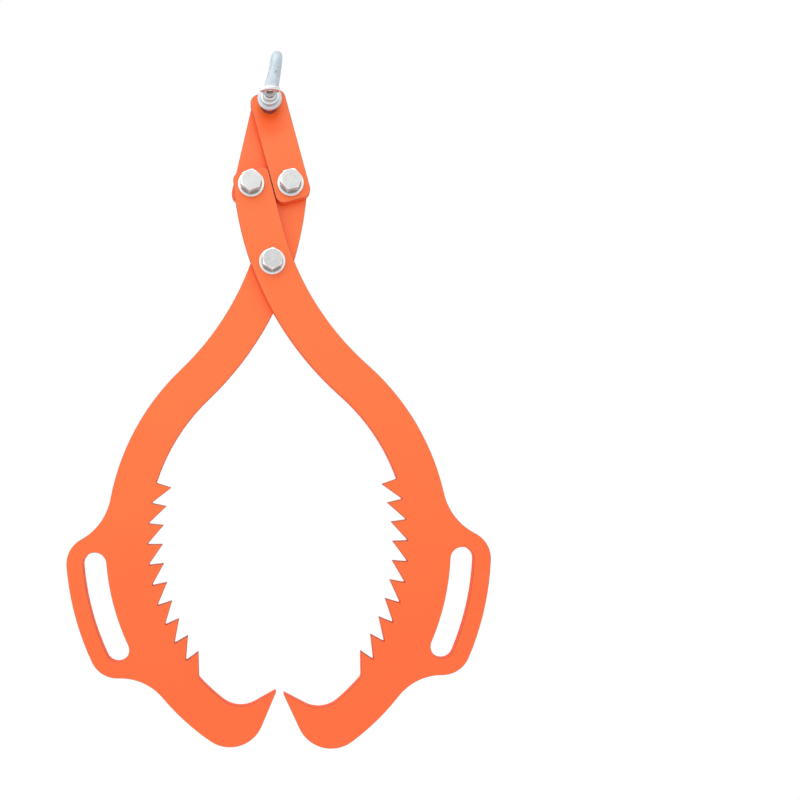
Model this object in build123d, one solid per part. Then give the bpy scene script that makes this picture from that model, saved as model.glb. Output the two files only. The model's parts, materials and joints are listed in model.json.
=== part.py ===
from build123d import *
import os
from math import acos, asin, atan2, cos, degrees, hypot, radians, sin, sqrt, tan

# Log tongs: two toothed claw arms cross at a bolt and hang by two links from a screw-pin shackle.
# Millimetres and degrees. +Z is up, the front faces -Y, and the origin is the hook's seat in the shackle.

# Plates
plate_thickness = 8.0
layer_gap = 0.3  # between the front layer and the rear layer of plates
pivot_pitch = 81.5  # between the two holes of a link, and between the two pivot holes of an arm

# Links
link_width = 36.2
link_top_reach = 14.0  # from the pin hole to the top end
link_top_corner = 9.0
link_bottom_reach = 17.8  # from the bolt hole to the bottom end
link_bottom_corner = 9.0
stop_gap = 0.35  # left between an arm's shank and the link beside it when the jaws are shut

# Arm: neck and shank, seen with the upper hole straight above the centre hole and the claw on the left
arm_width = 41.6
neck_radius = 306.2  # of the centre line, which runs through the centre hole
neck_tilt = 5.5  # of the neck's arc centre above the centre hole's level
neck_sweep = 33.3  # below level, where the neck bends the other way into the jaw
shank_reach = 20.3  # from the upper hole to the edge that stops against the link
shank_top_reach = 14.0  # from the upper hole to the top end
shank_corner = 7.0

# Arm: jaw and teeth, with angles below level as seen from the centre of the jaw's arc
jaw_radius = 225.5  # of the centre line
tooth_count = 10
tooth_pitch = 6.0
first_tooth = -4.5
tooth_depth = 15.5
tooth_tip = 0.8
tooth_root_rounding = 0.8
last_root_fillet = 6.0

# Arm: hand slot and grip
slot_offset = 33.6  # from the jaw's centre line to the slot's
slot_width = 24.0
slot_top = 17.9
slot_bottom = 38.2
grip_bar = 17.0
grip_top_fillet = 60.0
grip_bottom_fillet = 56.0

# Arm: hook
hook_inner_start = 65.0
hook_inner_radius = 29.6
hook_outer_start = 68.7
hook_outer_radius = 35.4
hook_tip_angle = 77.9
hook_tip_rise = 38.1  # from the jaw's inner edge
hook_tip_radius = 0.8

# Pivot bolts
bolt_diameter = 12.7
bolt_play = 0.5  # on the diameter, in the plates' holes
head_wall = 3.4  # from the shank to the head's flats
head_height = 9.5
thread_stand_out = 3.0  # past the nut
bolt_end_chamfer = 1.2
washer_diameter = 26.8
washer_thickness = 2.4
washer_play = 1.4  # on the diameter, round the shank
washer_drop = 0.6  # of a washer that hangs on its shank
washer_chamfer = 0.4
nut_wall = 3.3  # from the thread to the nut's flats
nut_hex_height = 10.0
nut_collar_height = 4.0
nut_collar_wall = 0.9
nut_collar_rounding = 1.2
nut_lip = 0.8  # thickness of the rolled lip over the ring
nut_lip_overhang = 0.6
ring_wall = 1.75
ring_clearance = 0.1  # round a ring in its nut
thread_clearance = 0.1  # on the diameter, between a bolt and its nut or ring
running_gap = 0.2  # between a nut's washer and the rear plate
hexagon_bevel = 30.0
bevel_start = 0.95  # of the width across flats, where the bevel leaves the end face

# How far each bolt head is turned, clockwise from a corner pointing up
left_head_turn = 10.0
right_head_turn = 19.0
centre_head_turn = 2.0

# Shackle
bow_wire = 11.3
bow_play = 1.95  # between the plates and either leg of the bow
seat_height = 44.3  # from the pin's axis to the hook's seat
bow_lean = 10.2
ear_wall = 6.2  # round the pin
ear_thickness = 5.0  # of the legs' ends, which are beaten flat from the inside
ear_rounding = 2.0
taper_share = 0.82  # of the height from the pin's axis to the bow's bend, where a leg begins to flatten
taper_end = 4.0  # height over the pin's axis at which a leg has run into its ear
taper_width = 16.0
taper_inset = 0.2  # of the flattened leg inside its ear
pin_diameter = 12.0
pin_clearance = 0.2  # on the diameter, in the ears
pin_play = 4.9  # on the diameter, in the links' holes
pin_seat_gap = 0.3  # between the pin and the top of the links' holes
pin_stand_out = 1.5
pin_end_chamfer = 1.0
collar_lip = 3.25  # from the pin to the collar's rim
collar_thickness = 3.5
collar_gap = 0.2
collar_rounding = 1.2
neck_lip = 0.5  # from the pin to the rim of the neck in front of the collar
neck_length = 3.2
neck_rounding = 0.5
tab_length = 11.7  # in front of the neck
tab_bury = 1.5  # length of the tab's root inside the neck
tab_thickness = 3.4
tab_root_width = 11.4
tab_width = 22.0
tab_front_radius = 16.0
tab_front_corner = 2.0
tab_rounding = 1.0
tab_hole_diameter = 6.5
tab_hole_reach = 6.6  # from the tab's front end

# Places worked out from these sizes
bolt_hole_radius = (bolt_diameter + bolt_play) / 2
thread_radius = (bolt_diameter + thread_clearance) / 2
ring_radius = thread_radius + ring_wall
pin_hole_radius = (pin_diameter + pin_play) / 2
pin_drop = pin_play / 2 - pin_seat_gap
front_face = -layer_gap / 2 - plate_thickness
rear_face = layer_gap / 2 + plate_thickness
bow_leg = rear_face + bow_play + bow_wire / 2
ear_outer_face = bow_leg + bow_wire / 2
closed_angle = degrees(asin((shank_reach + link_width / 2 + stop_gap) / pivot_pitch)) / 2
pin_axis = (-seat_height * sin(radians(bow_lean)), -seat_height * cos(radians(bow_lean)))
top_hole = (pin_axis[0], pin_axis[1] - pin_drop)
link_run = pivot_pitch * sin(radians(closed_angle))
link_fall = pivot_pitch * cos(radians(closed_angle))
left_bolt = (top_hole[0] - link_run, top_hole[1] - link_fall)
right_bolt = (top_hole[0] + link_run, top_hole[1] - link_fall)
centre_bolt = (top_hole[0], top_hole[1] - 2 * link_fall)
jaw_inner = jaw_radius - arm_width / 2
jaw_outer = jaw_radius + arm_width / 2


def polar(centre, radius, drop):
    """The point at this distance to the left of centre, dropped by an angle below level."""
    return (
        centre[0] - radius * cos(radians(drop)),
        centre[1] - radius * sin(radians(drop)),
    )


def drop_of(centre, point):
    """The angle below level, to the left, at which point is seen from centre."""
    return degrees(atan2(centre[1] - point[1], centre[0] - point[0]))


def arc(centre, start, end):
    """The shorter arc about centre from start to end."""
    radius = hypot(start[0] - centre[0], start[1] - centre[1])
    first = drop_of(centre, start)
    turn = (drop_of(centre, end) - first + 180) % 360 - 180
    return ThreePointArc(start, polar(centre, radius, first + turn / 2), end)


def tangent_point(point, centre, radius, side):
    """Where a line from point touches the circle, on its left (1) or right (-1) as seen from point."""
    across, up = centre[0] - point[0], centre[1] - point[1]
    distance = hypot(across, up)
    heading = atan2(up, across) + side * asin(radius / distance)
    length = sqrt(distance**2 - radius**2)
    return (point[0] + length * cos(heading), point[1] + length * sin(heading))


def upright(face, centre, turn=0.0, mirrored=False):
    """A flat face set up in the plane of the plates, turned clockwise, with its origin at centre."""
    turned = Rot(0, 0, -turn) * face
    if mirrored:
        turned = mirror(turned, about=Plane.YZ)
    return Plane.XZ * Pos(centre[0], centre[1]) * turned


def plate(face, back):
    """A plate of the given face whose rear side lies at back."""
    return extrude(Pos(0, back, 0) * face, amount=plate_thickness, dir=(0, -1, 0))


def grip_blend(jaw, end_drop, end_radius, blend, side):
    """Centre of the hollow fillet between the jaw's outer edge and an end of the grip."""
    reach = jaw_outer + blend
    slot_radius = jaw_radius + slot_offset
    opened = acos((slot_radius**2 + reach**2 - (end_radius + blend) ** 2) / (2 * slot_radius * reach))
    return polar(jaw, reach, end_drop + side * degrees(opened))


def toward(start, end, distance):
    """The point at this distance from start on the way to end."""
    length = hypot(end[0] - start[0], end[1] - start[1])
    return (
        start[0] + (end[0] - start[0]) * distance / length,
        start[1] + (end[1] - start[1]) * distance / length,
    )


def tooth_line(jaw, index):
    """A tooth from the root below it to the root above: a long slope, a blunt tip and a radial face."""
    upper = first_tooth + index * tooth_pitch
    tip_radius = jaw_inner - tooth_depth
    tip_turn = degrees(tooth_tip / tip_radius)
    return Polyline(
        polar(jaw, jaw_inner, upper + tooth_pitch),
        polar(jaw, tip_radius, upper + tip_turn),
        polar(jaw, tip_radius, upper),
        polar(jaw, jaw_inner, upper),
    )


def arm_face():
    """Outline of an arm about its centre hole, its upper hole straight above and its claw on the left."""
    half = arm_width / 2
    neck = polar((0, 0), neck_radius, -neck_tilt)
    jaw = polar(neck, -(neck_radius + jaw_radius), -neck_sweep)
    bend_inner = polar(neck, -(neck_radius - half), -neck_sweep)
    bend_outer = polar(neck, -(neck_radius + half), -neck_sweep)

    # Shank: a straight stop edge that touches the neck's arc, and a square end
    top = pivot_pitch + shank_top_reach
    stop = (-shank_reach, top - shank_corner)
    shank_start = tangent_point(stop, neck, neck_radius - half, 1)
    stop_slope = (stop[0] - shank_start[0]) / (stop[1] - shank_start[1])
    top_left = (stop[0] + stop_slope * shank_corner, top)
    outer_run = sqrt((neck_radius + half) ** 2 - (top - neck[1]) ** 2)
    top_right = (neck[0] + outer_run, top)

    # Grip: the slot's centre line thickened, with hollow fillets into the jaw's outer edge
    slot_radius = jaw_radius + slot_offset
    grip_round = slot_width / 2 + grip_bar
    slot_high = polar(jaw, slot_radius, slot_top)
    slot_low = polar(jaw, slot_radius, slot_bottom)
    blend_high = grip_blend(jaw, slot_top, grip_round, grip_top_fillet, -1)
    blend_low = grip_blend(jaw, slot_bottom, grip_round, grip_bottom_fillet, 1)
    leave_high = toward(jaw, blend_high, jaw_outer)
    leave_low = toward(jaw, blend_low, jaw_outer)
    meet_high = toward(slot_high, blend_high, grip_round)
    meet_low = toward(slot_low, blend_low, grip_round)
    grip_high = polar(jaw, slot_radius + grip_round, slot_top)
    grip_low = polar(jaw, slot_radius + grip_round, slot_bottom)

    # Hook: both edges of the jaw turn up in arcs and run straight to the tip
    tip = polar(jaw, jaw_inner - hook_tip_rise, hook_tip_angle)
    outer_bend = polar(jaw, jaw_outer - hook_outer_radius, hook_outer_start)
    inner_bend = polar(jaw, jaw_inner - hook_inner_radius, hook_inner_start)
    outer_start = polar(jaw, jaw_outer, hook_outer_start)
    inner_start = polar(jaw, jaw_inner, hook_inner_start)
    outer_end = tangent_point(tip, outer_bend, hook_outer_radius, 1)
    inner_end = tangent_point(tip, inner_bend, hook_inner_radius, 1)

    last_root = polar(jaw, jaw_inner, first_tooth + tooth_count * tooth_pitch)
    first_root = polar(jaw, jaw_inner, first_tooth)
    edges = [
        Line(top_left, shank_start),
        arc(neck, shank_start, bend_inner),
        arc(jaw, bend_inner, leave_high),
        arc(blend_high, leave_high, meet_high),
        arc(slot_high, meet_high, grip_high),
        arc(jaw, grip_high, grip_low),
        arc(slot_low, grip_low, meet_low),
        arc(blend_low, meet_low, leave_low),
        arc(jaw, leave_low, outer_start),
        arc(outer_bend, outer_start, outer_end),
        Line(outer_end, tip),
        Line(tip, inner_end),
        arc(inner_bend, inner_end, inner_start),
        arc(jaw, inner_start, last_root),
    ]
    edges += [tooth_line(jaw, index) for index in reversed(range(tooth_count))]
    edges += [
        arc(jaw, first_root, bend_outer),
        arc(neck, bend_outer, top_right),
        Line(top_right, top_left),
    ]
    face = make_face(edges)
    face = fillet(face.vertices().sort_by(Axis.Y)[-2:], shank_corner)
    face = fillet(face.vertices().sort_by_distance(tip)[0], hook_tip_radius)
    face = fillet(face.vertices().sort_by_distance(last_root)[0], last_root_fillet)
    roots = [polar(jaw, jaw_inner, first_tooth + index * tooth_pitch) for index in range(tooth_count)]
    face = fillet([face.vertices().sort_by_distance(root)[0] for root in roots], tooth_root_rounding)

    slot_edges = [
        arc(jaw, polar(jaw, radius, slot_top), polar(jaw, radius, slot_bottom))
        for radius in (slot_radius - slot_width / 2, slot_radius + slot_width / 2)
    ]
    for end, drop, side in ((slot_high, slot_top, -1), (slot_low, slot_bottom, 1)):
        slot_edges.append(
            ThreePointArc(
                polar(jaw, slot_radius - slot_width / 2, drop),
                polar(end, slot_width / 2, drop + side * 90),
                polar(jaw, slot_radius + slot_width / 2, drop),
            )
        )
    face -= make_face(slot_edges)
    face -= Circle(bolt_hole_radius)
    return face - Pos(0, pivot_pitch) * Circle(bolt_hole_radius)


def link_face():
    """Outline of a link hanging straight down from its pin hole."""
    length = link_top_reach + pivot_pitch + link_bottom_reach
    face = Pos(0, link_top_reach - length / 2) * Rectangle(link_width, length)
    face = fillet(face.vertices().sort_by(Axis.Y)[-2:], link_top_corner)
    face = fillet(face.vertices().sort_by(Axis.Y)[:2], link_bottom_corner)
    face -= Circle(pin_hole_radius)
    return face - Pos(0, -pivot_pitch) * Circle(bolt_hole_radius)


def along_y(centre, start):
    """Frame at a pivot whose Z axis points to the rear and whose X axis points up."""
    return Plane((centre[0], start, centre[1]), x_dir=(0, 0, 1), z_dir=(0, 1, 0))


def rod(radius, height):
    """A round rod standing on the origin."""
    return Cylinder(radius, height, align=(Align.CENTER, Align.CENTER, Align.MIN))


def top_rim(solid):
    """The highest round edge of a standing solid."""
    return solid.edges().filter_by(GeomType.CIRCLE).sort_by(Axis.Z)[-1]


def hexagon(wall, height, bevel_both_ends):
    """A hexagonal prism standing on the origin, round the bolt by a wall, with bevelled corners."""
    flat = bolt_diameter / 2 + wall
    start = flat * bevel_start
    reach = 2 * flat
    rise = (reach - start) * tan(radians(hexagon_bevel))
    outline = [(0, 0), (start, 0), (reach, rise)]
    if bevel_both_ends:
        outline += [(reach, height - rise), (start, height)]
    else:
        outline += [(reach, height)]
    outline += [(0, height)]
    rounded = revolve(Plane.XZ * make_face(Polyline(*outline, close=True)), Axis.Z)
    return extrude(RegularPolygon(flat, 6, major_radius=False), amount=height) & rounded


def pivot_bolt(centre, turn):
    """Hex bolt from the front: head against its washer, and a shank through both plates and the nut."""
    plates = rear_face + running_gap - front_face
    length = plates + 2 * washer_thickness + nut_hex_height + nut_collar_height + thread_stand_out
    shank = rod(bolt_diameter / 2, length)
    shank = chamfer(top_rim(shank), bolt_end_chamfer)
    bolt = hexagon(head_wall, head_height, False) + Pos(0, 0, head_height) * shank
    return along_y(centre, front_face - washer_thickness - head_height) * Rot(0, 0, turn) * bolt


def washer(centre, start):
    """Flat washer with lightly bevelled rims, hanging on a shank."""
    disc = rod(washer_diameter / 2, washer_thickness)
    disc = chamfer(disc.edges().filter_by(GeomType.CIRCLE), washer_chamfer)
    disc -= Cylinder((bolt_diameter + washer_play) / 2, 3 * washer_thickness)
    return along_y((centre[0], centre[1] - washer_drop), start) * disc


def lock_nut(centre, start):
    """Hex nut with a rolled collar that holds a locking ring."""
    height = nut_hex_height + nut_collar_height
    pocket = ring_radius + ring_clearance / 2
    collar = rod(pocket + nut_collar_wall, height)
    collar = fillet(top_rim(collar), nut_collar_rounding)
    body = hexagon(nut_wall, nut_hex_height, True) + collar
    body -= rod(thread_radius, height)
    body -= Pos(0, 0, nut_hex_height) * rod(pocket, nut_collar_height - nut_lip)
    body -= Pos(0, 0, nut_hex_height) * rod(ring_radius - nut_lip_overhang, nut_collar_height)
    return along_y(centre, start) * body


def lock_ring(centre, start):
    """Locking ring that sits in a nut's collar."""
    height = nut_collar_height - nut_lip - ring_clearance
    ring = rod(ring_radius, height) - rod(thread_radius, height)
    return along_y(centre, start + nut_hex_height) * ring


def shackle_bow():
    """Round-wire bow whose legs flatten into two bored ears, leaning to the right about the pin's axis."""
    shoulder = seat_height + bow_wire / 2 - bow_leg
    taper_start = taper_share * shoulder
    path = Line((0, -bow_leg, taper_start), (0, -bow_leg, shoulder))
    path += ThreePointArc((0, -bow_leg, shoulder), (0, 0, shoulder + bow_leg), (0, bow_leg, shoulder))
    path += Line((0, bow_leg, shoulder), (0, bow_leg, taper_start))
    bow = sweep(Pos(0, -bow_leg, taper_start) * Circle(bow_wire / 2), path=path)
    ear = Cylinder(pin_diameter / 2 + ear_wall, ear_thickness)
    ear = fillet(ear.edges().filter_by(GeomType.CIRCLE), ear_rounding)
    ear_middle = ear_outer_face - ear_thickness / 2
    flattened = Ellipse(taper_width / 2, ear_thickness / 2 - taper_inset)
    for side in (-1, 1):
        wire_end = Pos(0, side * bow_leg, taper_start) * Circle(bow_wire / 2)
        bow += loft([Pos(0, side * ear_middle, taper_end) * flattened, wire_end])
        bow += Pos(0, side * ear_middle, 0) * Rot(90, 0, 0) * ear
    bow -= Rot(90, 0, 0) * Cylinder((pin_diameter + pin_clearance) / 2, 3 * ear_outer_face)
    return Pos(pin_axis[0], 0, pin_axis[1]) * Rot(0, bow_lean, 0) * bow


def pin_tab(front):
    """The pin's tab: a flat fan with a bowed end, rooted in the neck behind front."""
    half = tab_width / 2
    corner = tab_length - tab_front_radius + sqrt(tab_front_radius**2 - half**2)
    spread = (half - tab_root_width / 2) / corner
    root = tab_root_width / 2 - spread * tab_bury
    bowed = ThreePointArc((-half, -corner), (0, -tab_length), (half, -corner))
    sides = Polyline((half, -corner), (root, tab_bury), (-root, tab_bury), (-half, -corner))
    plan = make_face([bowed, sides])
    plan = fillet(plan.vertices().sort_by(Axis.Y)[:2], tab_front_corner)
    body = extrude(plan, amount=tab_thickness / 2, both=True)
    faces = body.faces().sort_by(Axis.Z)
    rims = [edge for edge in faces[0].edges() + faces[-1].edges() if edge.center().Y < 0]
    body = fillet(rims, tab_rounding)
    body -= Pos(0, tab_hole_reach - tab_length, 0) * Cylinder(tab_hole_diameter / 2, 2 * tab_thickness)
    return Pos(0, front, 0) * body


def shackle_pin():
    """Screw pin: a flat tab, a neck and a collar in front, and a shank through both ears."""
    collar_back = -ear_outer_face - collar_gap
    collar_front = collar_back - collar_thickness
    neck_front = collar_front - neck_length
    collar = rod(pin_diameter / 2 + collar_lip, collar_thickness)
    collar = fillet(collar.edges().filter_by(GeomType.CIRCLE), collar_rounding)
    neck = rod(pin_diameter / 2 + neck_lip, neck_length)
    neck = fillet(neck.edges().filter_by(GeomType.CIRCLE).sort_by(Axis.Z)[0], neck_rounding)
    shank = rod(pin_diameter / 2, ear_outer_face + pin_stand_out - collar_back)
    shank = chamfer(top_rim(shank), pin_end_chamfer)
    pin = along_y((0, 0), collar_front) * collar
    pin += along_y((0, 0), neck_front) * neck
    pin += along_y((0, 0), collar_back) * shank
    pin += pin_tab(neck_front)
    return Pos(pin_axis[0], 0, pin_axis[1]) * pin


arm = arm_face()
link = link_face()
front_back = -layer_gap / 2
rear_washer = rear_face + running_gap
nut_start = rear_washer + washer_thickness

nodes = {
    "left_claw_arm": plate(upright(arm, centre_bolt, closed_angle), rear_face),
    "right_claw_arm": plate(upright(arm, centre_bolt, closed_angle, mirrored=True), front_back),
    "left_link": plate(upright(link, top_hole, closed_angle), rear_face),
    "right_link": plate(upright(link, top_hole, -closed_angle), front_back),
    "shackle_bow": shackle_bow(),
    "shackle_pin": shackle_pin(),
}
pivots = {
    "left": (left_bolt, left_head_turn),
    "right": (right_bolt, right_head_turn),
    "centre": (centre_bolt, centre_head_turn),
}
for side, (centre, turn) in pivots.items():
    nodes[f"{side}_bolt"] = pivot_bolt(centre, turn)
    nodes[f"{side}_head_washer"] = washer(centre, front_face - washer_thickness)
    nodes[f"{side}_nut_washer"] = washer(centre, rear_washer)
    nodes[f"{side}_lock_nut"] = lock_nut(centre, nut_start)
    nodes[f"{side}_lock_ring"] = lock_ring(centre, nut_start)

os.makedirs("parts", exist_ok=True)
for name, solid in nodes.items():
    export_step(solid, f"parts/{name}.step")
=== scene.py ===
"""Log tongs: two toothed claw arms on links, hung from a screw-pin shackle.

Lengths are in metres unless a comment says otherwise. The front faces -Y and +Z is up.
"""

import json
import math

import bmesh
import bpy
from bpy.props import FloatProperty, FloatVectorProperty, IntProperty, PointerProperty
from mathutils import Matrix, Vector


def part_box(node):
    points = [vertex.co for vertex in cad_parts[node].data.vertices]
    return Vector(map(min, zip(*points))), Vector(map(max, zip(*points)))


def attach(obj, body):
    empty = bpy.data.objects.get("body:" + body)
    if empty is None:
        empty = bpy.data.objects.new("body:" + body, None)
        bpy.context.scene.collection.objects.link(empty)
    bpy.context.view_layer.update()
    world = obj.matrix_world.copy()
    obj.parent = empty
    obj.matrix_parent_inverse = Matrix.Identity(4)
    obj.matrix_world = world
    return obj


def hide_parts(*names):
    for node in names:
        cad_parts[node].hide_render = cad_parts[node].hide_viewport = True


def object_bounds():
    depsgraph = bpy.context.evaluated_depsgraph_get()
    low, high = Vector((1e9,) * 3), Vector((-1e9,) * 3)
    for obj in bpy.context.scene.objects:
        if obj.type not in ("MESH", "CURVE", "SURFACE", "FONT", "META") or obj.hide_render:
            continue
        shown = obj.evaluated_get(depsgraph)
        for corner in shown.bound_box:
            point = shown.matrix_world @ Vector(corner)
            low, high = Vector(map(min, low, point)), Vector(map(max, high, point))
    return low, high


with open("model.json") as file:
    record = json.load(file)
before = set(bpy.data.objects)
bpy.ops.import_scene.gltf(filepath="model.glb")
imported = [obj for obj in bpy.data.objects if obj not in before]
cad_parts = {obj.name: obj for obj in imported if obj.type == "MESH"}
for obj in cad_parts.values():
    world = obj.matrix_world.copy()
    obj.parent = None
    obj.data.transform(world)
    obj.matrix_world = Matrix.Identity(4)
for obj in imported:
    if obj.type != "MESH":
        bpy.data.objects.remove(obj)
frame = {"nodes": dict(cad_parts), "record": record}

bl_info = {
    "name": "Log Tongs",
    "version": (1, 0, 0),
    "blender": (4, 5, 0),
    "location": "View3D > Sidebar > Log Tongs",
    "description": "Dresses the packed log tongs with coat, zinc, threads and a plain studio",
    "category": "Object",
}

CAD_BOX = [list(corner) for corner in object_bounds()]
BODY_OF = {
    node: body
    for body, nodes in frame["record"]["behaviour"]["bodies"].items()
    for node in nodes
}
SIDES = ("left", "right", "centre")
ARMS = ("left_claw_arm", "right_claw_arm")
LINKS = ("left_link", "right_link")
PIN_AXIS = sum(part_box("shackle_pin"), Vector()) / 2
MM = 0.001

# Bolts, pin and their threads
BOLT_RADIUS = 6.35 * MM
BOLT_POINT = 1.2 * MM  # length of the tapered end
PIN_RADIUS = 6.0 * MM
PIN_POINT = 1.0 * MM  # length of the tapered end
PIN_THREAD_REACH = 6.5 * MM  # from the start of the thread to the rear ear's outer face
PIN_GRAIN_SHARE = 0.7  # of the bow's forging grain
THREAD_DEPTH = 0.55  # of the pitch
THREAD_FLANK = (0.12, 0.88)  # where a flank starts and ends, from crest to root
ROWS_PER_TURN = 12
THREAD_COLUMNS = 65

# Painted shade, highlight and reflection on the shackle
EYE_SHADE_MARGIN = 0.25 * MM  # of the painted shade, past the bore of the pin's eye
REFLECTION_REACH = 0.6 * MM  # of the shank's painted reflection, past the plates
EAR_THICKNESS = 5.0 * MM
EAR_REACH = 15.0 * MM  # of the ears' painted highlight and shade, from the pin's axis
EAR_FADE = 4.0 * MM
EAR_SEAT_DEPTH = 1.0 * MM
EAR_HIGHLIGHT = 0.45

# Meshes: angles, and how far an edge or a face's normal points along Y
MERGE_DISTANCE = 1e-6
FLAT_ANGLE = math.radians(0.05)
HEX_ANGLE = math.radians(24)
SOFT_ANGLE = math.radians(32)
SHARP_ANGLE = math.radians(40)
STRAIGHT_ACROSS = 0.99
WASHER_FLAT = 0.95
PLATE_FLAT = 0.9
PLATE_WALL = 0.3
HEAD_BEVEL = (0.2, 0.93)
RIM_START = 0.02  # of the edge rounding
SHADE_LIMIT = 0.9  # of the washer's rim
TURN_PASSES = 2
SMOOTH_FACTOR = 0.5
LARGE_FACE_WEIGHT = 100

# Widths of the finishes' patterns, in millimetres
COAT_CLOUD = 85.0
COAT_PATCH = 9.0
COAT_PEEL = 1.9
DUST_CELL = 11.0
BEAM_LINE = 0.8
ZINC_FROST = 0.55
ZINC_PATCH = 5.0
ZINC_SMEAR = 2.2
ZINC_GRAIN = 1.5
DIP_MOTTLE = 4.2
DIP_RUN = 2.6
DIP_LUMP = 2.8
DIP_GRIT = 0.6
DIP_SPECK = 1.2
DIP_SPECK_PATCH = 10.0
NYLON_GRAIN = 0.8
NYLON_CLOUD = 6.0

# Heights and distances of the painted shade and shadow in the coat, in millimetres
SHADE_HEIGHTS = (-690.0, -260.0)
SHADE_WAVER = 220.0
SHADOW_DROP = 19.0  # from the pin's axis
SHADOW_FADE = (3.0, 24.0)
SHADOW_WAVER = 6.0

# Stretch of the patterns along the three axes
ACROSS_PLATE = (1.0, 0.04, 1.0)
ZINC_STROKE = (1.0, 1.0, 0.25)
DIP_FALL = (1.0, 1.0, 0.22)
ALONG_PLATE = (1.0, 0.0, 1.0)

# Values between which a pattern sets in
DUST_DOT = (0.018, 0.034)
DUST_CHANCE = (0.80, 0.82)
RIM_SHADE_LEVELS = (0.25, 0.75)
FLANK_SHADE_LEVELS = (0.30, 0.70)
BEAM_LEVELS = (0.35, 0.75)
ZINC_WARMTH = (0.35, 0.70)
STAIN_LEVELS = (0.60, 0.80)
GRAIN_LEVELS = (0.30, 0.70)
MOTTLE_LEVELS = (0.32, 0.68)
DULL_LEVELS = (0.52, 0.74)
SPECK_LEVELS = (0.54, 0.66)
SPECK_PATCHES = (0.44, 0.58)
CREASE_SHADE_TURNS = (0.02, 0.20)  # per millimetre
EDGE_HIGHLIGHT_TURNS = (0.16, 0.50)  # per millimetre
NYLON_LEVELS = (0.3, 0.7)

# How strongly a pattern shows
DUST_SHARE = 0.75
BEAM_SHARE = 0.3
STAIN_SHARE = 0.45
GRAIN_SHARE = 0.34
DULL_SHARE = 0.50
SPECK_SHARE = 0.60
CREASE_SHADE_SHARE = 0.28
EDGE_HIGHLIGHT_SHARE = 0.60

# Stage
WHITE = (1.0, 1.0, 1.0, 1.0)
SENSOR_WIDTH = 36.0  # in millimetres
FRONT_LAYER = -0.004  # along Y, the middle of the front plates
FLOOR_RADIUS = 4.0
FLOOR_SIDES = 96
FLOOR_GRAIN = 0.05
FLOOR_SHADE = 0.05
LAMPS = (  # name, place from the middle of the tongs, width, setting of the power
    ("Key lamp", (-0.35, -0.90, 1.75), 2.7, "key_power"),
    ("Fill lamp", (-1.45, -0.75, 0.15), 1.6, "fill_power"),
)


def colour_of(name, description, *rgb):
    """A colour that a user can change."""
    return FloatVectorProperty(
        name=name, description=description, subtype="COLOR", size=4, min=0.0, max=1.0, default=(*rgb, 1.0)
    )


def length_of(name, description, default):
    """A length that a user can change."""
    return FloatProperty(
        name=name, description=description, subtype="DISTANCE", unit="LENGTH", default=default
    )


def power_of(name, description, default):
    """A lamp's power that a user can change."""
    return FloatProperty(
        name=name, description=description, subtype="POWER", unit="POWER", default=default
    )


class CoatSettings(bpy.types.PropertyGroup):
    """Colours and edges of the powder-coated plates."""

    colour: colour_of("Coat colour", "Colour of the powder coat", 0.95, 0.163, 0.037)
    # Painted shade: the darker colour of the coat towards the hooks
    lower_shade_colour: colour_of("Lower shade colour", "Colour where the coat lies thicker", 0.95, 0.130, 0.025)
    # Painted shade: the dark line along the rims of the plates
    rim_shade_colour: colour_of(
        "Rim shade colour", "Colour where the coat has drawn back from an edge", 0.26, 0.077, 0.044
    )
    # Painted shade: the deeper red of the cut walls
    wall_shade_colour: colour_of(
        "Wall shade colour", "Colour of the coat on the duller cut walls", 0.92, 0.095, 0.024
    )
    # Painted shadow: the deeper red under the links' top holes
    painted_shadow_colour: colour_of(
        "Painted shadow colour", "Colour where the coat has pooled under the links' top holes", 0.98, 0.110, 0.010
    )
    # Painted shade: the darker colour on the flanks of the teeth
    flank_shade_colour: colour_of(
        "Flank shade colour", "Colour of the dirt on the flanks of the teeth", 0.20, 0.05, 0.035
    )
    dust_colour: colour_of("Dust colour", "Colour of the dust specks in the coat", 0.20, 0.05, 0.03)
    edge_rounding: length_of(
        "Edge rounding", "Width of the rounded edge of a coated plate", 0.4 * MM
    )
    peel_depth: length_of("Peel depth", "Height of the fine ripple in the coat", 0.02 * MM)


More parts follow.
